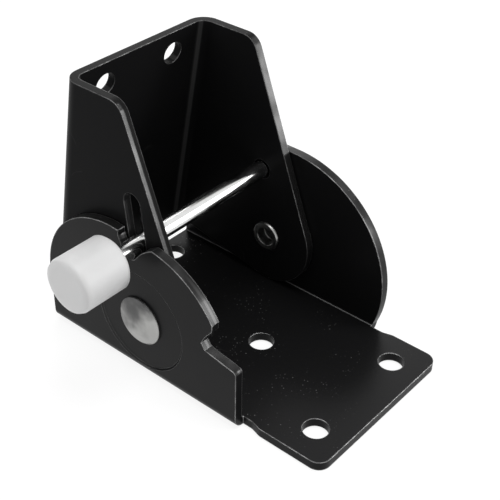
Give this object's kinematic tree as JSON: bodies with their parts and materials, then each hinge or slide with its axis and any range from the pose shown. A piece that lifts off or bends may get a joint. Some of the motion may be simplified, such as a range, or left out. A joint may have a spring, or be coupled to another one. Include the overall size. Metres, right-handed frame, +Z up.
{
  "type": "folding leg bracket",
  "caption": "Folded sheet-steel bracket for a folding table leg: a base with two cheeks, a hinged leg channel on rivets and a sprung lock rod with a round knob that drops into notches.",
  "frame": {"origin": "underside of the base plate, straight below the rivet axis and midway between the cheeks", "axes": "+Z up from the base plate, +X to the front tongue, +Y to the plain cheek, so the knob points to -Y"},
  "size_m": [0.0832, 0.068, 0.0667],
  "materials": {
    "black_paint": "smooth black coating, semi-gloss",
    "bright_rod": "bright zinc plate",
    "white_nylon": "satin white plastic",
    "zinc_steel": "dull zinc plate",
    "spring_wire": "drawn wire"
  },
  "bodies": {
    "base": {"base_bracket": "black_paint", "rivet_near": "zinc_steel", "rivet_far": "zinc_steel"},
    "leg": {"leg_channel": "black_paint", "spring": "spring_wire"},
    "lock": {"lock_rod": "bright_rod", "knob": "white_nylon"}
  },
  "joints": [
    {"name": "fold", "type": "hinge", "parent": "base", "child": "leg", "pos_m": [0, 0, 0.0153], "axis": [0, 1, 0], "range_deg": [0, 84.5]},
    {"name": "lock_lift", "type": "hinge", "parent": "base", "child": "lock", "pos_m": [0.00974, 0, 0.02577], "axis": [0, 1, 0], "range_deg": [0, 169], "deforming": ["spring"]}
  ],
  "couplings": [
    {"joint": "lock_lift", "follows": "fold", "ratio": 2}
  ]
}
